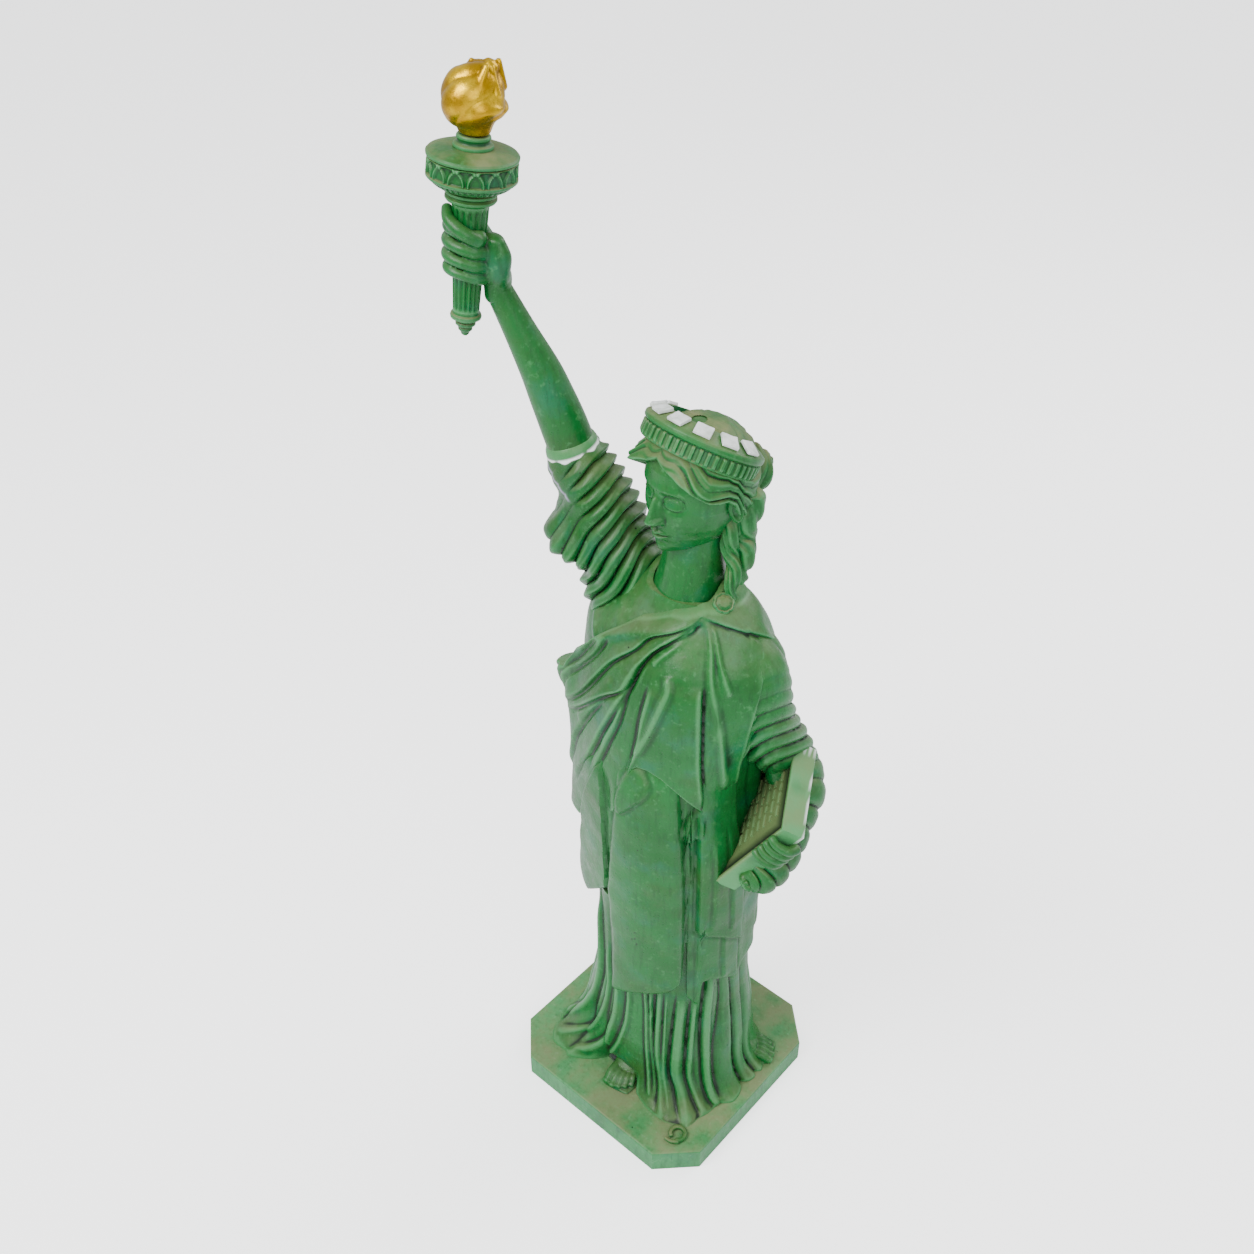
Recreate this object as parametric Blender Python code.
"""Garden statue of a robed torch bearer: painted castings on a cut-corner plinth.

The figure stands on the origin, +Z up, facing -Y, and raises its right arm at -X.
Sizes are in millimetres and become metres where the meshes are made.
Heights in the tables below count from the ground, with the plinth top at DRAWN_FLOOR.
"""

import math

import bmesh
import bpy
from mathutils import Matrix, Vector

MM = 0.001
GAP = 0.3                      # between two castings that touch

# Overall sizes
PLINTH_SIDE = 300.0
PLINTH_HEIGHT = 34.0
PLINTH_CORNER = 43.0           # cut off each corner, along each side
PLINTH_EDGE = 2.0              # small bevel on the plinth's edges
FIGURE_HEIGHT = 950.0          # plinth top to the top of the hair
FIGURE_BREADTH = 224.0         # across the skirt at the plinth

# Castings
ROBE_WALL = 6.0
SKIRT_WALL = 7.0
MANTLE_WALL = 5.0
MANTLE_SINK = 14.0             # how far the mantle is drawn into the robe before it is cut
SKIRT_EASE = 1.2               # between the skirt and the robe that hangs over it
CUT_EASE = 1.5                 # of a casting cut to the cloth it leans on
PLEAT_DEPTH = 3.0
PLEATS = 12

# Steelwork in the base
BOLT_DIAMETER = 8.0
BOLT_HEAD_DIAMETER = 13.0
BOLT_HEAD_HEIGHT = 8.0
BOLT_HEAD_INSET = 2.0
NUT_ACROSS_CORNERS = 15.0
NUT_HEIGHT = 6.5
BOLT_SPREAD_X = 60.0
BOLT_SPREAD_Y = 45.0
FLANGE_THICKNESS = 6.0
POST_DIAMETER = 34.0
POST_WALL = 3.0
POST_HEIGHT = 640.0
FLANK_HOLLOW = 15.0            # how far the side draws in behind the tablet

# Raised arm: a separate casting plugged into the sleeve
ARM_RADIUS = 24.0
WRIST_RADIUS = 12.0
SLEEVE_END_RADIUS = 27.0
TENON_DIAMETER = 30.0
TENON_IN_SLEEVE = 70.0
TENON_IN_ARM = 40.0
SOCKET_WALL = 3.0

# Torch
TORCH_LENGTH = 175.0           # finial tip to the top of the gallery
HANDLE_TOP_DIAMETER = 34.0
HANDLE_FOOT_DIAMETER = 25.0
RING_DIAMETER = 48.0
GALLERY_DIAMETER = 82.0
GALLERY_HEIGHT = 34.0
ROD_DIAMETER = 8.0
SPIGOT_DIAMETER = 20.0
SPIGOT_LENGTH = 14.0
COLLAR_DIAMETER = 36.0
COLLAR_HEIGHT = 11.0
STUB_DIAMETER = 10.0           # round stub under the flame, which it turns on
STUB_LENGTH = 12.0
FLAME_WIDTH = 61.0
FLAME_HEIGHT = 60.0
GRIP_HEIGHT = 62.0
FINGER_THICKNESS = 11.0

# Head
HEAD_WIDTH = 98.0
HEAD_DEPTH = 108.0
HEAD_HEIGHT = 132.0
HAIR_THICKNESS = 9.0
NECK_RADIUS = 31.0
CROWN_DIAMETER = 122.0
CROWN_WALL = 8.0
CROWN_BAND = 24.0
CROWN_TILT = math.radians(30.0)
FACE_TURN = math.radians(-10.0)   # of the head, from straight ahead
RAY_STUBS = 7
RAY_STUB_WIDTH = 17.0
RAY_STUB_HEIGHT = 3.5
RAY_STUB_SPREAD = math.radians(174.0)

# Tablet
TABLET_WIDTH = 110.0
TABLET_HEIGHT = 153.0
TABLET_THICKNESS = 26.0
TABLET_RIM = 7.0
TABLET_RIM_DEPTH = 2.0

HAND_THICKNESS = 18.0          # of the hand that holds the tablet

BROOCH_DIAMETER = 22.0
SHACKLE_RADIUS = 9.0
SHACKLE_BAR = 3.0

# Facets of the meshes
AROUND_TRUNK = 4 * PLEATS
ROBE_ROWS = 9
MANTLE_ROWS = 6

DRAWN_FLOOR = 34.0
TALL = FIGURE_HEIGHT / 950.0
BROAD = FIGURE_BREADTH / 224.0

# Trunk of the figure: height, centre x and y, half width, half depth
TRUNK = (
    (34, 6, 6, 112, 100), (90, 6, 6, 108, 96), (150, 6, 6, 106, 94),
    (220, 6, 6, 104, 92), (300, 6, 5, 102, 90), (400, 4, 4, 106, 92),
    (500, 3, 2, 108, 92), (560, 2, 0, 108, 88), (620, 2, 0, 108, 86),
    (680, 4, 0, 112, 80), (715, 5, 2, 108, 74), (740, 6, 5, 97, 65),
    (760, 8, 8, 77, 52), (775, 10, 9, 58, 43), (800, 12, 10, 36, 36),
)

# Edges of the cloth: angle from the front in degrees (+ to the figure's left), height
ROBE_HEM = (
    (-180, 300), (-130, 300), (-70, 318), (-44, 322), (-14, 380), (-10, 230),
    (-6, 207), (14, 235), (33, 253), (41, 265), (44, 300), (52, 228), (60, 262),
    (90, 245), (125, 280), (180, 300),
)
MANTLE_HEM = (
    (-180, 430), (-120, 430), (-70, 440), (-45, 450), (-20, 520), (0, 545),
    (12, 562), (20, 600), (35, 600), (46, 560), (53, 515), (64, 519), (77, 540),
    (90, 600), (120, 560), (150, 480), (180, 430),
)
MANTLE_TOP = (
    (-180, 690), (-130, 650), (-80, 648), (-53, 659), (-46, 698), (-24, 734),
    (-11, 756), (16, 773), (51, 785), (130, 785), (160, 750), (180, 690),
)


def level(z):
    """World height of a drawn height on the figure."""
    return PLINTH_HEIGHT + (z - DRAWN_FLOOR) * TALL


def at(x, y, z):
    """World point of a drawn point on the figure."""
    return Vector((x * BROAD, y * BROAD, level(z)))


ROBE_TOP = 786.0
ARM_END = at(-117, -26, 905)                       # where arm and sleeve meet
ARM_AXIS = Vector((-0.268, -0.195, 0.943)).normalized()
TORCH_AXIS = Vector((0.088, 0.075, 0.993)).normalized()
TORCH_FOOT = ARM_END + Vector((-75.0, -63.0, 118.0))
TORCH_TOP = TORCH_FOOT + TORCH_LENGTH * TORCH_AXIS
HEAD = at(13, 11, 835) + Vector((0, 0, HEAD_HEIGHT / 2))
CROWN_CENTRE = HEAD + Vector((1.0, 3.0, HEAD_HEIGHT / 2 - 27.0))
CROWN_AXIS = Vector((-math.sin(FACE_TURN) * math.sin(CROWN_TILT),
                     math.cos(FACE_TURN) * math.sin(CROWN_TILT), math.cos(CROWN_TILT)))
TABLET_CENTRE = at(124.5, 10.5, 520)
TABLET_UP = Vector((0.50, 0.03, 0.86)).normalized()
TABLET_OUT = Vector((-0.72, -0.53, 0.44)).normalized()


# ---------------------------------------------------------------- making meshes

def clear_scene():
    for old in list(bpy.data.objects):
        bpy.data.objects.remove(old, do_unlink=True)


def paint(name, colour, roughness, metallic=0.0):
    """One Principled material."""
    made = bpy.data.materials.new(name)
    made.use_nodes = True
    shader = made.node_tree.nodes["Principled BSDF"]
    shader.inputs["Base Color"].default_value = (*colour, 1.0)
    shader.inputs["Roughness"].default_value = roughness
    shader.inputs["Metallic"].default_value = metallic
    return made


def green(name):
    return paint(name, (0.06, 0.28, 0.12), 0.38)


def steel(name):
    return paint(name, (0.45, 0.46, 0.48), 0.35, 1.0)


def gold(name):
    return paint(name, (0.62, 0.36, 0.03), 0.32, 0.4)


def finish(name, bm, material, smooth=True):
    """Turn a bmesh in millimetres into a named object with outward faces."""
    bmesh.ops.remove_doubles(bm, verts=bm.verts, dist=0.01)
    bmesh.ops.dissolve_degenerate(bm, edges=bm.edges, dist=0.005)
    bmesh.ops.recalc_face_normals(bm, faces=bm.faces)
    bmesh.ops.scale(bm, vec=(MM, MM, MM), verts=bm.verts)
    mesh = bpy.data.meshes.new(name)
    bm.to_mesh(mesh)
    bm.free()
    if smooth:
        mesh.shade_smooth()
        mesh.set_sharp_from_angle(angle=math.radians(35.0))
    made = bpy.data.objects.new(name, mesh)
    bpy.context.scene.collection.objects.link(made)
    if material:
        mesh.materials.append(material)
    return made


def skin(name, surface, around, along, material, smooth=True):
    """Bend a grid on to surface(u, v), u and v from 0 to 1, and close its seams."""
    bm = bmesh.new()
    bmesh.ops.create_grid(bm, x_segments=around, y_segments=along, size=1.0)
    for vert in bm.verts:
        vert.co = surface((vert.co.x + 1) / 2, (vert.co.y + 1) / 2)
    return finish(name, bm, material, smooth)


def hidden(made):
    """Keep a cutter out of the build."""
    made.hide_render = True
    made.display_type = "WIRE"
    return made


def cut(piece, *tools):
    """Cut the tools from a piece with live Boolean modifiers."""
    for tool in tools:
        step = piece.modifiers.new(tool.name, "BOOLEAN")
        step.operation = "DIFFERENCE"
        step.solver = "EXACT"
        step.object = tool
    return piece


def side_axes(axis):
    """Two directions square to an axis, the first as near +X as it can be."""
    first = Vector((1, 0, 0))
    first = (first - first.dot(axis) * axis).normalized()
    return first, axis.cross(first)


def turned(name, outline, foot, axis, sides, material, flutes=None):
    """Lathe an outline of (radius, height) about an axis; it closes on itself."""
    first, second = side_axes(axis)
    loop = list(outline)
    if loop[0][0] > 0:
        loop.append(loop[0])

    def surface(u, v):
        radius, height = loop[round(v * (len(loop) - 1))]
        turn = math.tau * u
        if flutes:
            radius -= flutes(radius, height, turn)
        out = math.cos(turn) * first + math.sin(turn) * second
        return foot + height * axis + radius * out

    return skin(name, surface, sides, len(loop) - 1, material)


def limb(name, stations, sides, material, ripple=None):
    """Loft ellipses along a path of (centre, half width, half depth), capped flat."""
    centres = [Vector(row[0]) for row in stations]
    last = len(centres) - 1
    frames = []
    for index in range(last + 1):
        ahead = centres[min(index + 1, last)] - centres[max(index - 1, 0)]
        if index == last:
            ahead = centres[last] - centres[last - 1]
        frames.append(side_axes(ahead.normalized()))

    def surface(u, v):
        row = round(v * (last + 2)) - 1
        flat = row < 0 or row > last
        row = min(max(row, 0), last)
        if flat:
            return centres[row]
        turn = math.tau * u
        swell = ripple(turn, row / last) if ripple else 0.0
        first, second = frames[row]
        _, wide, deep = stations[row]
        return (centres[row] + (wide + swell) * math.cos(turn) * first
                + (deep + swell) * math.sin(turn) * second)

    return skin(name, surface, sides, last + 2, material)


def rod(name, foot, axis, diameter, length, sides, material):
    """A plain round bar."""
    radius = diameter / 2
    outline = ((0, 0), (radius, 0), (radius, length), (0, length))
    return turned(name, outline, foot, axis, sides, material)


def tube(name, foot, axis, outer, inner, length, sides, material):
    """A plain round tube, open at both ends."""
    outline = ((outer / 2, 0), (outer / 2, length), (inner / 2, length), (inner / 2, 0))
    return turned(name, outline, foot, axis, sides, material)


def block(name, centre, axes, sizes, material, bevel=0.0):
    """A box about a centre, turned to three axes."""
    bm = bmesh.new()
    bmesh.ops.create_cube(bm, size=1.0)
    bmesh.ops.scale(bm, vec=sizes, verts=bm.verts)
    if bevel:
        bmesh.ops.bevel(bm, geom=bm.edges, offset=bevel, segments=1, profile=0.5,
                        affect="EDGES", material=-1)
    turn = Matrix((axes[0], axes[1], axes[2])).transposed().to_4x4()
    bmesh.ops.transform(bm, matrix=Matrix.Translation(centre) @ turn, verts=bm.verts)
    return finish(name, bm, material, smooth=False)


def between(table, key):
    """Straight interpolation of a table of (key, value) rows."""
    for (low, first), (high, second) in zip(table, table[1:]):
        if key <= high:
            return first + (second - first) * (key - low) / (high - low)
    return table[-1][1]


def trunk_row(z):
    """Centre and half sizes of the trunk at a drawn height, eased between its rows."""
    for low, high in zip(TRUNK, TRUNK[1:]):
        if z <= high[0]:
            share = (z - low[0]) / (high[0] - low[0])
            return [a + (b - a) * share for a, b in zip(low[1:], high[1:])]
    return TRUNK[-1][1:]


def trunk(turn, z, out=0.0):
    """World point at an angle round the trunk, out mm outside it."""
    cx, cy, wide, deep = (BROAD * value for value in trunk_row(z))
    flank = math.exp(-((math.degrees(turn) - 88) / 34) ** 2 - ((z - 545) / 75) ** 2)
    out -= FLANK_HOLLOW * flank
    return Vector((cx + (wide + out) * math.sin(turn),
                   cy - (deep + out) * math.cos(turn), level(z)))


def wrap(name, hem, top, inner, outer, around, rows, material):
    """A closed shell round the trunk; hem and top give drawn heights by angle."""
    def surface(u, v):
        turn = math.tau * (u - 0.5)
        step = round(v * (2 * rows + 2)) % (2 * rows + 2)
        rising = step <= rows
        share = step / rows if rising else (2 * rows + 1 - step) / rows
        z = hem(turn) + (top(turn) - hem(turn)) * share
        return trunk(turn, z, outer(turn, z) if rising else inner(turn, z))

    return skin(name, surface, around, 2 * rows + 2, material)


def steady(value):
    """A hem or offset that is the same all round."""
    return lambda *place: value


# ---------------------------------------------------------------- base

def bolt_places():
    """Centres of the four base bolts, front right first."""
    middle = trunk_row(DRAWN_FLOOR)
    return [Vector((BROAD * middle[0] + sx * BOLT_SPREAD_X,
                    BROAD * middle[1] + sy * BOLT_SPREAD_Y, 0.0))
            for sx, sy in ((-1, -1), (1, -1), (1, 1), (-1, 1))]


def make_plinth():
    bm = bmesh.new()
    bmesh.ops.create_cube(bm, size=1.0)
    bmesh.ops.scale(bm, vec=(PLINTH_SIDE, PLINTH_SIDE, PLINTH_HEIGHT), verts=bm.verts)
    upright = [e for e in bm.edges if abs(e.verts[0].co.z - e.verts[1].co.z) > 1]
    bmesh.ops.bevel(bm, geom=upright, offset=PLINTH_CORNER, segments=1, profile=0.5,
                    affect="EDGES", material=-1)
    rim = [e for e in bm.edges if min(v.co.z for v in e.verts) > 0]
    bmesh.ops.bevel(bm, geom=rim, offset=PLINTH_EDGE, segments=2, profile=0.5,
                    affect="EDGES", material=-1)
    bmesh.ops.translate(bm, vec=(0, 0, PLINTH_HEIGHT / 2), verts=bm.verts)
    plinth = finish("plinth", bm, green("plinth_paint"), smooth=False)
    seat = BOLT_HEAD_INSET + BOLT_HEAD_HEIGHT + GAP
    bore = BOLT_DIAMETER / 2 + 0.5
    head_bore = BOLT_HEAD_DIAMETER / 2 + 2.0
    outline = ((0, -5), (head_bore, -5), (head_bore, seat), (bore, seat),
               (bore, PLINTH_HEIGHT + 5), (0, PLINTH_HEIGHT + 5))
    for number, place in enumerate(bolt_places(), 1):
        drill = turned(f"drill_{number}", outline, place, Vector((0, 0, 1)), 16, None)
        cut(plinth, hidden(drill))


def make_base_bolts():
    """Cap screws up through the plinth and the flange, each with its nut."""
    up = Vector((0, 0, 1))
    seat = BOLT_HEAD_INSET + BOLT_HEAD_HEIGHT
    under_nut = PLINTH_HEIGHT + GAP + FLANGE_THICKNESS + GAP
    tip = under_nut + NUT_HEIGHT + 4.0
    head, shank = BOLT_HEAD_DIAMETER / 2, BOLT_DIAMETER / 2
    outline = ((0, BOLT_HEAD_INSET), (head, BOLT_HEAD_INSET), (head, seat),
               (shank, seat), (shank, tip), (0, tip))
    for number, place in enumerate(bolt_places(), 1):
        turned(f"base_bolt_{number}", outline, place, up, 16, steel(f"bolt_steel_{number}"))
        tube(f"base_nut_{number}", place + under_nut * up, up, NUT_ACROSS_CORNERS,
             (BOLT_DIAMETER + 2 * GAP) / math.cos(math.pi / 6), NUT_HEIGHT, 6,
             steel(f"nut_steel_{number}"))


def make_foot_flange():
    """Steel plate inside the skirt's foot that the bolts clamp."""
    foot = PLINTH_HEIGHT + GAP

    def surface(u, v):
        turn = math.tau * u
        row = round(v * 3)
        inside = trunk(turn, DRAWN_FLOOR + 2 * FLANGE_THICKNESS / TALL, -SKIRT_WALL - GAP)
        middle = (trunk(0, DRAWN_FLOOR) + trunk(math.pi, DRAWN_FLOOR)) / 2
        point = inside if row in (1, 2) else middle
        return Vector((point.x, point.y, foot + (FLANGE_THICKNESS if row > 1 else 0)))

    flange = skin("foot_flange", surface, 48, 3, steel("flange_steel"))
    for number, place in enumerate(bolt_places(), 1):
        drill = rod(f"flange_drill_{number}", place, Vector((0, 0, 1)),
                    BOLT_DIAMETER + 1.0, PLINTH_HEIGHT + 30, 16, None)
        cut(flange, hidden(drill))


def make_armature_post():
    """Steel pipe standing on the flange inside the hollow body."""
    foot = Vector((BROAD * 4, BROAD * 4, PLINTH_HEIGHT + FLANGE_THICKNESS + 2 * GAP))
    tube("armature_post", foot, Vector((0, 0, 1)), POST_DIAMETER,
         POST_DIAMETER - 2 * POST_WALL, POST_HEIGHT * TALL, 24, steel("post_steel"))


def make_shackle():
    """Broken shackle lying on the plinth by the hem, cast as a small ring."""
    bar = [(SHACKLE_RADIUS + SHACKLE_BAR * math.cos(a), SHACKLE_BAR * math.sin(a))
           for a in (math.tau * k / 8 for k in range(8))]
    middle = Vector((PLINTH_SIDE / 2 - 36, 42 - PLINTH_SIDE / 2,
                     PLINTH_HEIGHT + GAP + SHACKLE_BAR))
    turned("shackle", bar, middle, Vector((0, 0, 1)), 20, green("shackle_paint"))


# ---------------------------------------------------------------- cloth

def skirt_swell(z):
    """How far the skirt stands in from the trunk: out at the floor, under the robe above."""
    tucked = -ROBE_WALL - SKIRT_EASE
    return between(((34, 0.0), (120, 0.0), (190, tucked), (400, tucked)), z)


def make_underskirt():
    def outer(turn, z):
        fold = PLEAT_DEPTH * (1 + math.cos(PLEATS * turn)) / 2
        return skirt_swell(z) - fold

    def inner(turn, z):
        return skirt_swell(z) - SKIRT_WALL

    hem = DRAWN_FLOOR + GAP / TALL
    wrap("underskirt", steady(hem), steady(345), inner, outer, AROUND_TRUNK, 5,
         green("skirt_paint"))


def robe_hem(turn):
    return between(ROBE_HEM, math.degrees(turn))


def mantle_hem(turn):
    return between(MANTLE_HEM, math.degrees(turn))


def mantle_top(turn):
    return between(MANTLE_TOP, math.degrees(turn))


def make_robe():
    wrap("robe", robe_hem, steady(ROBE_TOP), steady(-ROBE_WALL), steady(0.0),
         AROUND_TRUNK, ROBE_ROWS, green("robe_paint"))


def robe_blank():
    """The robe's outside as a solid, with its clearance, for cutting what leans on it."""
    def surface(u, v):
        turn = math.tau * (u - 0.5)
        row = round(v * (ROBE_ROWS + 3)) - 2
        share = min(max(row, 0), ROBE_ROWS) / ROBE_ROWS
        z = robe_hem(turn) + (ROBE_TOP - robe_hem(turn)) * share
        if row == -1:
            return trunk(turn, 120, CUT_EASE)
        if row in (-2, ROBE_ROWS + 1):
            z = 120 if row < 0 else ROBE_TOP
            return (trunk(0, z) + trunk(math.pi, z)) / 2
        return trunk(turn, z, CUT_EASE)

    return hidden(skin("robe_blank", surface, AROUND_TRUNK, ROBE_ROWS + 3, None))


def skirt_blank():
    """The skirt's foot as a solid, for cutting the feet that show under it."""
    def surface(u, v):
        row = round(v * 3)
        z = 20 if row < 2 else 120
        if row in (0, 3):
            return (trunk(0, z) + trunk(math.pi, z)) / 2
        return trunk(math.tau * u, z, 2 * GAP)

    return hidden(skin("skirt_blank", surface, AROUND_TRUNK, 3, None))


def make_mantle():
    """The outer wrap; its inside is cut to the robe."""
    return wrap("mantle", mantle_hem, mantle_top, steady(-MANTLE_SINK),
                steady(GAP + MANTLE_WALL), AROUND_TRUNK, MANTLE_ROWS, green("mantle_paint"))


def cloth_blank():
    """Robe and mantle as one solid, with their clearance, for what leans on the mantle."""
    out = GAP + MANTLE_WALL + CUT_EASE

    def surface(u, v):
        turn = math.tau * (u - 0.5)
        row = round(v * (MANTLE_ROWS + 4)) - 2
        share = min(max(row, 0), MANTLE_ROWS) / MANTLE_ROWS
        z = mantle_hem(turn) + (mantle_top(turn) - mantle_hem(turn)) * share
        if row in (-2, MANTLE_ROWS + 2):
            z = 120 if row < 0 else ROBE_TOP + 4
            return (trunk(0, z) + trunk(math.pi, z)) / 2
        if row in (-1, MANTLE_ROWS + 1):
            z = 120 if row < 0 else ROBE_TOP + 4
        return trunk(turn, z, out)

    return hidden(skin("cloth_blank", surface, AROUND_TRUNK, MANTLE_ROWS + 4, None))


def make_brooch():
    """Round clasp on the mantle by the neck."""
    seat = trunk(math.radians(78.0), 770, MANTLE_WALL + 2 * GAP + 1.0)
    axis = Vector((0.52, -0.42, 0.74)).normalized()
    half = BROOCH_DIAMETER / 2
    outline = ((0, -8), (half, -8), (half, 3), (half - 3, 6), (0, 7))
    return turned("brooch", outline, seat, axis, 24, green("brooch_paint"))


# ---------------------------------------------------------------- draped left arm

def make_left_sleeve():
    """Cloth-covered left arm: down from the shoulder and forward under the tablet."""
    stations = (
        (at(66, 10, 738), 34, 34), (at(90, 14, 708), 36, 38), (at(98, 18, 662), 36, 38),
        (at(104, 32, 620), 34, 36), (at(116, 54, 580), 29, 32), (at(138, 50, 545), 28, 30),
        (at(154, 28, 514), 26, 27), (at(160, 0, 492), 26, 26), (at(153, -24, 474), 22, 23),
        (at(145, -40, 468), 9, 9),
    )

    def folds(turn, share):
        return 2.5 * math.sin(3 * turn + 26 * share) * min(1.0, 6 * share)

    return limb("left_sleeve", stations, 32, green("left_sleeve_paint"), folds)


def make_left_hand():
    """Fingers that hold the tablet by its front long side, near its outer end."""
    side = tablet_axes()[0]
    grip = TABLET_CENTRE + side * (TABLET_WIDTH / 2 + HAND_THICKNESS / 2 + GAP)
    stations = [(grip + far * TABLET_UP, share * HAND_THICKNESS / 2, share * HAND_THICKNESS / 2)
                for far, share in ((22, 0.6), (30, 1.0), (52, 1.0), (62, 0.5))]
    return limb("left_hand", stations, 16, green("left_hand_paint"))


def tablet_axes():
    side = TABLET_UP.cross(TABLET_OUT).normalized()
    return side, TABLET_OUT.cross(side).normalized(), TABLET_OUT


def make_tablet():
    axes = tablet_axes()
    tablet = block("tablet", TABLET_CENTRE, axes,
                   (TABLET_WIDTH, TABLET_HEIGHT, TABLET_THICKNESS),
                   green("tablet_paint"), bevel=1.5)
    panel = block("tablet_panel", TABLET_CENTRE + axes[2] * TABLET_THICKNESS / 2, axes,
                  (TABLET_WIDTH - 2 * TABLET_RIM, TABLET_HEIGHT - 2 * TABLET_RIM,
                   2 * TABLET_RIM_DEPTH), None)
    return cut(tablet, hidden(panel))


def tablet_blank():
    sizes = (TABLET_WIDTH + 2 * GAP, TABLET_HEIGHT + 2 * GAP, TABLET_THICKNESS + 2 * GAP)
    return hidden(block("tablet_blank", TABLET_CENTRE, tablet_axes(), sizes, None))


# ---------------------------------------------------------------- head

def head_point(turn, share, grow=0.0):
    """Point on the head: share 0 at the chin's underside, 1 at the top."""
    z = -math.cos(math.pi * share)
    wide = math.sqrt(max(0.0, 1 - z * z))
    jaw = 1.0 - 0.22 * max(0.0, -z) ** 1.5
    x = (HEAD_WIDTH / 2 + grow) * wide * jaw * math.sin(turn)
    y = -(HEAD_DEPTH / 2 + grow) * wide * math.cos(turn)
    front = max(0.0, math.cos(turn)) ** 24
    nose = 11.0 * front * math.exp(-((z + 0.12) / 0.16) ** 2)
    y -= nose if not grow > 1 else 0.0
    return HEAD + Vector((x, y, (HEAD_HEIGHT / 2 + grow) * z))


def ball(name, grow, material):
    return skin(name, lambda u, v: head_point(math.tau * u, v, grow), 28, 14, material)


def make_neck(name, grow=0.0):
    """Column from inside the robe's collar up into the head."""
    low = at(10, 10, 752)
    high = HEAD - Vector((0, -4, HEAD_HEIGHT / 2 - 22))
    radius = NECK_RADIUS + grow
    stations = [(low.lerp(high, k / 4), radius, radius) for k in range(5)]
    return limb(name, stations, 28, green(name + "_paint"))


def make_head():
    return ball("head", 0.0, green("face_paint"))


def make_hair():
    """Cap of hair round the head, open at the face."""
    hair = ball("hair", HAIR_THICKNESS, green("hair_paint"))
    axes = (Vector((1, 0, 0)), Vector((0, 1, 0)), Vector((0, 0, 1)))
    face = block("face_opening", HEAD + Vector((0, -70, -52)), axes, (96, 100, 150), None)
    return cut(hair, hidden(face))


def make_bun():
    stations = [(HEAD + Vector((9, 56 + 34 * k / 5, -6)), wide, wide)
                for k, wide in enumerate((20, 24, 26, 24, 17, 8))]
    return limb("hair_bun", stations, 20, green("bun_paint"))


def make_lock(name, side, turns):
    """One curled lock hanging from behind the ear."""
    start = HEAD + Vector((side * 45, 28, -18))
    stations = [(start + Vector((side * k, -2.0 * k, -11 * k)), 10 - 0.5 * k, 9 - 0.4 * k)
                for k in range(turns)]

    def twist(turn, share):
        return 1.2 * math.cos(2 * turn + 22 * share)

    return limb(name, stations, 14, green(name + "_paint"), twist)


def crown_outline(grow=0.0):
    """Section of the diadem: a band with a projecting rim and a top sloping in."""
    outer = CROWN_DIAMETER / 2
    return ((outer - 5 + grow, -CROWN_BAND / 2 - grow), (outer - 2 + grow, 4),
            (outer + grow, 6), (outer + grow, CROWN_BAND / 2 - 2),
            (outer - 2 + grow, CROWN_BAND / 2 + grow),
            (outer - 2 - CROWN_WALL * 2, CROWN_BAND / 2 + 9 + grow),
            (outer - 4 - CROWN_WALL * 2, CROWN_BAND / 2 + 2),
            (outer - 5 - CROWN_WALL - grow, 4),
            (outer - 5 - CROWN_WALL - grow, -CROWN_BAND / 2 - grow))


def make_crown():
    return turned("crown", crown_outline(), CROWN_CENTRE, CROWN_AXIS, 40,
                  green("crown_paint"))


def crown_blank():
    """Everything inside the crown's section, out to its clearance."""
    outer = CROWN_DIAMETER / 2 + GAP
    half = CROWN_BAND / 2
    outline = ((outer - 5 - CROWN_WALL - 2 * GAP, -half - GAP), (outer + 20, -half - GAP),
               (outer + 20, half + 9 + GAP), (outer - 4 - 2 * CROWN_WALL - 2 * GAP, half + 9 + GAP),
               (outer - 4 - 2 * CROWN_WALL - 2 * GAP, half + 2 - GAP),
               (outer - 5 - CROWN_WALL - 2 * GAP, 4 - GAP))
    return hidden(turned("crown_blank", outline, CROWN_CENTRE, CROWN_AXIS, 40, None))


def make_ray_stubs():
    """Square stumps where the crown's seven rays broke off, white inside."""
    first, second = side_axes(CROWN_AXIS)
    low = CROWN_DIAMETER / 2 - 2
    run, rise = 2 * CROWN_WALL, 9.0
    slope = math.hypot(run, rise)
    for number in range(RAY_STUBS):
        turn = -math.pi / 2 + RAY_STUB_SPREAD * (number / (RAY_STUBS - 1) - 0.5)
        out = math.cos(turn) * first + math.sin(turn) * second
        inward = (CROWN_AXIS * rise - out * run) / slope
        normal = inward.cross(CROWN_AXIS.cross(out)).normalized()
        if normal.dot(CROWN_AXIS) < 0:
            normal = -normal
        seat = CROWN_CENTRE + low * out + CROWN_AXIS * CROWN_BAND / 2 + inward * slope / 2
        centre = seat + normal * (RAY_STUB_HEIGHT / 2 + GAP)
        across = normal.cross(inward)
        block(f"ray_stub_{number + 1}", centre, (across, inward, normal),
              (RAY_STUB_WIDTH, slope * 0.8, RAY_STUB_HEIGHT),
              paint(f"stub_white_{number + 1}", (0.85, 0.86, 0.84), 0.5), bevel=0.6)


# ---------------------------------------------------------------- raised arm

def socket_place():
    return ARM_END - (TENON_IN_SLEEVE + 1.0) * ARM_AXIS


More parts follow.
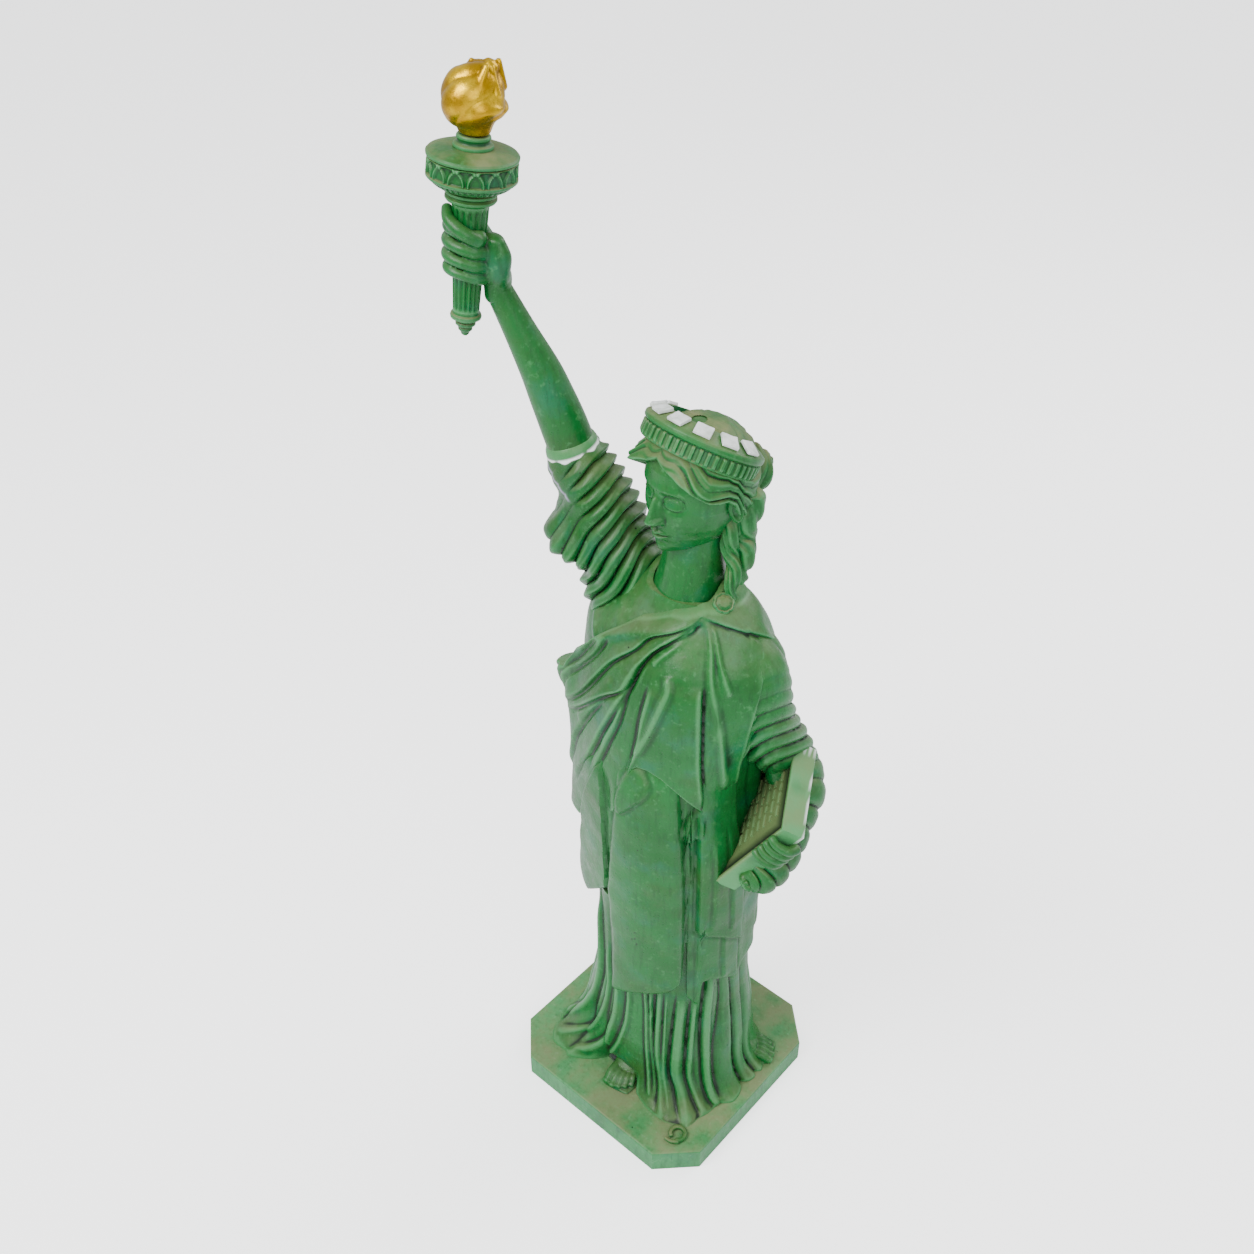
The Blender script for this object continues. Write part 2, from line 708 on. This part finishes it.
def make_right_sleeve():
    """Bunched short sleeve, bored for the arm's socket."""
    stations = (
        (at(-50, 14, 712), 40, 44), (at(-66, 10, 735), 46, 48), (at(-82, 2, 775), 48, 50),
        (at(-94, -6, 812), 46, 48), (ARM_END - 64 * ARM_AXIS, 41, 41),
        (ARM_END - 40 * ARM_AXIS, 37, 37), (ARM_END - 16 * ARM_AXIS, 32, 32),
        (ARM_END, SLEEVE_END_RADIUS, SLEEVE_END_RADIUS),
    )

    def folds(turn, share):
        return 3.0 * math.sin(2 * turn + 30 * share) * (1 - share)

    sleeve = limb("right_sleeve", stations, 32, green("right_sleeve_paint"), folds)
    bore = TENON_DIAMETER + 2 * GAP + 2 * SOCKET_WALL + 2 * GAP
    drill = rod("socket_drill", socket_place() - GAP * ARM_AXIS, ARM_AXIS, bore,
                TENON_IN_SLEEVE + 30, 28, None)
    return cut(sleeve, hidden(drill))


def make_arm_socket():
    inner = TENON_DIAMETER + 2 * GAP
    tube("arm_socket", socket_place(), ARM_AXIS, inner + 2 * SOCKET_WALL, inner,
         TENON_IN_SLEEVE + 0.7, 28, paint("socket_filler", (0.55, 0.53, 0.6), 0.6))


def make_arm_tenon():
    rod("arm_tenon", ARM_END - TENON_IN_SLEEVE * ARM_AXIS, ARM_AXIS, TENON_DIAMETER,
        TENON_IN_SLEEVE + TENON_IN_ARM, 28, paint("tenon_resin", (0.8, 0.8, 0.78), 0.55))


def grip_centre():
    return TORCH_FOOT + 78.0 * TORCH_AXIS


def handle_radius(height):
    """Radius of the tapered handle at a height over the torch's foot."""
    share = (height - 26.0) / (TORCH_LENGTH - GALLERY_HEIGHT - 26.0 - 14.0)
    return (HANDLE_FOOT_DIAMETER + (HANDLE_TOP_DIAMETER - HANDLE_FOOT_DIAMETER) * share) / 2


def make_forearm():
    """Bare forearm from the sleeve to the wrist, bored for the tenon."""
    start = ARM_END + GAP * ARM_AXIS
    wrist = grip_centre() - 30 * TORCH_AXIS + Vector((20, 19, 0))
    lengths = (0, 25, 55, 85)
    radii = (ARM_RADIUS, ARM_RADIUS, ARM_RADIUS - 1.5, ARM_RADIUS - 4)
    stations = [(start + far * ARM_AXIS, wide, wide) for far, wide in zip(lengths, radii)]
    bend = start + 85 * ARM_AXIS
    stations.append((bend.lerp(wrist, 0.5), WRIST_RADIUS + 4, WRIST_RADIUS + 4))
    stations.append((wrist, WRIST_RADIUS, WRIST_RADIUS))
    stations.append((wrist + Vector((-4, -4, 22)), WRIST_RADIUS, WRIST_RADIUS))
    forearm = limb("forearm", stations, 24, green("forearm_paint"))
    drill = rod("tenon_drill", start - 20 * ARM_AXIS, ARM_AXIS, TENON_DIAMETER + 2 * GAP,
                TENON_IN_ARM + 20 + GAP, 28, None)
    reach = handle_radius(78.0) + GAP + FINGER_THICKNESS + 4.0 + GAP
    grip = rod("grip_blank", TORCH_FOOT - 40 * TORCH_AXIS, TORCH_AXIS, 2 * reach, 200, 28, None)
    return cut(forearm, hidden(drill), hidden(grip))


def make_right_hand():
    """Closed fist round the handle: four fingers stacked along it."""
    first, second = side_axes(TORCH_AXIS)
    foot = grip_centre() - GRIP_HEIGHT / 2 * TORCH_AXIS
    across, rows = 14, 8
    start, sweep = math.radians(-35.0), math.radians(275.0)

    def surface(u, v):
        step = round(v * (2 * rows + 2)) % (2 * rows + 2)
        outside = step <= rows
        share = step / rows if outside else (2 * rows + 1 - step) / rows
        height = GRIP_HEIGHT * share
        inner = handle_radius(78.0 - GRIP_HEIGHT / 2 + height) + GAP
        knuckle = 3.5 * abs(math.sin(2 * math.pi * share + 0.4))
        radius = inner + (FINGER_THICKNESS + knuckle - 3.5 if outside else 0.0)
        place = min(max(u * (across + 2) - 1, 0.0), across) / across
        if u in (0.0, 1.0):
            radius = inner + FINGER_THICKNESS * 0.35
        turn = start + sweep * place
        out = math.cos(turn) * first + math.sin(turn) * second
        return foot + height * TORCH_AXIS + radius * out

    return skin("right_hand", surface, across + 2, 2 * rows + 2, green("hand_paint"))


# ---------------------------------------------------------------- torch

def make_torch_handle():
    low, high = 26.0, TORCH_LENGTH - GALLERY_HEIGHT - 14.0
    bore = ROD_DIAMETER / 2 + GAP
    heights = [low + (high - low) * k / 4 for k in range(5)]
    outline = [(handle_radius(h), h) for h in heights] + [(bore, high), (bore, low)]

    def flutes(radius, height, turn):
        return 0.9 * (1 + math.cos(12 * turn)) / 2 if radius > bore + 1 else 0.0

    return turned("torch_handle", outline, TORCH_FOOT, TORCH_AXIS, 48,
                  green("handle_paint"), flutes)


def make_torch_finial():
    """Beehive knob that closes the handle's foot, on the end of the rod."""
    edge = HANDLE_FOOT_DIAMETER / 2
    bore, depth = ROD_DIAMETER / 2 + GAP, 12.0
    outline = ((0, 0), (3, 1), (6, 5), (5.5, 7), (9, 11), (8.5, 13), (edge - 1, 17),
               (edge + 2, 19), (edge + 2, 23), (edge, 26 - GAP), (bore, 26 - GAP),
               (bore, depth), (0, depth))
    return turned("torch_finial", outline, TORCH_FOOT, TORCH_AXIS, 28,
                  green("finial_paint"))


def make_torch_ring():
    """Turned rings between the handle and the gallery."""
    low = TORCH_LENGTH - GALLERY_HEIGHT - 14.0 + GAP
    high = TORCH_LENGTH - GALLERY_HEIGHT - GAP
    edge, bore = RING_DIAMETER / 2, ROD_DIAMETER / 2 + GAP
    outline = ((edge - 5, low), (edge - 1, low + 2), (edge, low + 5), (edge - 1, low + 8),
               (edge - 5, low + 9.5), (edge - 6, high), (bore, high), (bore, low))
    return turned("torch_ring", outline, TORCH_FOOT, TORCH_AXIS, 28, green("ring_paint"))


def make_torch_gallery():
    """Round gallery with a socket in its top for the flame's collar."""
    low, high = TORCH_LENGTH - GALLERY_HEIGHT, TORCH_LENGTH
    edge, bore = GALLERY_DIAMETER / 2, ROD_DIAMETER / 2 + GAP
    socket = SPIGOT_DIAMETER / 2 + GAP
    outline = ((RING_DIAMETER / 2 + 2, low), (edge - 4, low + 5), (edge, low + 9),
               (edge, high - 8), (edge - 1.5, high - 6), (edge - 9, high), (socket, high),
               (socket, high - SPIGOT_LENGTH - GAP), (bore, high - SPIGOT_LENGTH - GAP),
               (bore, low))
    return turned("torch_gallery", outline, TORCH_FOOT, TORCH_AXIS, 40,
                  green("gallery_paint"))


def make_torch_rod():
    """Rod that ties finial, handle, ring and gallery together."""
    start = 12.0 + GAP
    length = TORCH_LENGTH - SPIGOT_LENGTH - 3 * GAP - start
    rod("torch_rod", TORCH_FOOT + start * TORCH_AXIS, TORCH_AXIS, ROD_DIAMETER, length, 16,
        steel("rod_steel"))


def make_flame_collar():
    """Turned collar whose spigot sits loose in the gallery's socket."""
    edge, spigot = COLLAR_DIAMETER / 2, SPIGOT_DIAMETER / 2
    bore = STUB_DIAMETER / 2 + GAP
    outline = ((bore, GAP - SPIGOT_LENGTH), (spigot, GAP - SPIGOT_LENGTH), (spigot, GAP),
               (edge, GAP), (edge, 3), (edge - 4, 6), (edge - 3, COLLAR_HEIGHT - 2),
               (edge - 4, COLLAR_HEIGHT), (bore, COLLAR_HEIGHT))
    return turned("flame_collar", outline, TORCH_TOP, TORCH_AXIS, 24,
                  green("collar_paint"))


def make_flame():
    """Gold flame, swept to one side, on a round stub."""
    foot = TORCH_TOP + (COLLAR_HEIGHT + GAP) * TORCH_AXIS
    stub = STUB_DIAMETER / 2
    half = FLAME_WIDTH / 2
    rise = FLAME_HEIGHT
    stub_foot = foot - (STUB_LENGTH - 2) * TORCH_AXIS
    lean = Vector((0.75, 0.66, 0))
    shape = ((0.0, 0.42, 0), (0.06, 0.50, 0), (0.14, 0.58, 0), (0.28, 0.86, 0),
             (0.46, 1.0, 1), (0.62, 0.95, 4), (0.76, 0.80, 9), (0.88, 0.55, 14), (1.0, 0.22, 19))
    stations = [(stub_foot, stub, stub), (foot, stub, stub)]
    stations += [(foot + far * rise * TORCH_AXIS + sweep * lean, half * wide, half * wide)
                 for far, wide, sweep in shape]

    def tongues(turn, share):
        return 2.2 * math.sin(5 * turn + 9 * share) * max(0.0, share - 0.35)

    return limb("flame", stations, 28, gold("flame_gold"), tongues)


# ---------------------------------------------------------------- feet

def make_foot(name, heel, toe):
    """Bare foot showing under the hem, flat on the plinth."""
    stations = [(heel.lerp(toe, share), wide, high) for share, wide, high in
                ((0, 18, 16), (0.4, 19, 14), (0.75, 19, 11), (0.95, 15, 8), (1.0, 10, 5))]
    foot = limb(name, stations, 20, green(name + "_paint"))
    below = block(name + "_floor", Vector((heel.x, heel.y, PLINTH_HEIGHT + GAP - 50)),
                  (Vector((1, 0, 0)), Vector((0, 1, 0)), Vector((0, 0, 1))),
                  (400, 400, 100), None)
    return cut(foot, hidden(below))


def main():
    clear_scene()
    make_plinth()
    make_base_bolts()
    make_foot_flange()
    make_armature_post()
    make_shackle()
    make_underskirt()
    make_robe()

    robe = robe_blank()
    skirt = skirt_blank()
    cloth = cloth_blank()
    cut(make_mantle(), robe)
    tablet = tablet_blank()

    brooch = make_brooch()
    cut(brooch, cloth)
    left_sleeve = make_left_sleeve()
    cut(left_sleeve, tablet, cloth)
    cut(make_tablet(), cloth)
    make_left_hand()

    head_shell = hidden(ball("head_blank", GAP, None))
    hair_shell = hidden(ball("hair_blank", HAIR_THICKNESS + GAP, None))
    cut(make_neck("neck"), head_shell)
    neck_space = hidden(make_neck("neck_blank", CUT_EASE))
    crown_space = crown_blank()
    cut(make_head(), crown_space)
    cut(make_hair(), head_shell, crown_space, neck_space)
    cut(make_bun(), hair_shell)
    for name, side, turns in (("lock_left", 1, 9), ("lock_right", -1, 6)):
        cut(make_lock(name, side, turns), hair_shell, cloth)
    make_crown()
    make_ray_stubs()

    right_sleeve = make_right_sleeve()
    cut(right_sleeve, robe)
    make_arm_socket()
    make_arm_tenon()
    make_forearm()
    make_right_hand()
    make_torch_handle()
    make_torch_finial()
    make_torch_ring()
    make_torch_gallery()
    make_torch_rod()
    make_flame_collar()
    make_flame()

    right_foot = make_foot("right_foot", at(12, -66, 44), at(14, -114, 41))
    left_foot = make_foot("left_foot", at(76, 40, 44), at(128, 66, 41))
    cut(right_foot, skirt)
    cut(left_foot, skirt)


main()
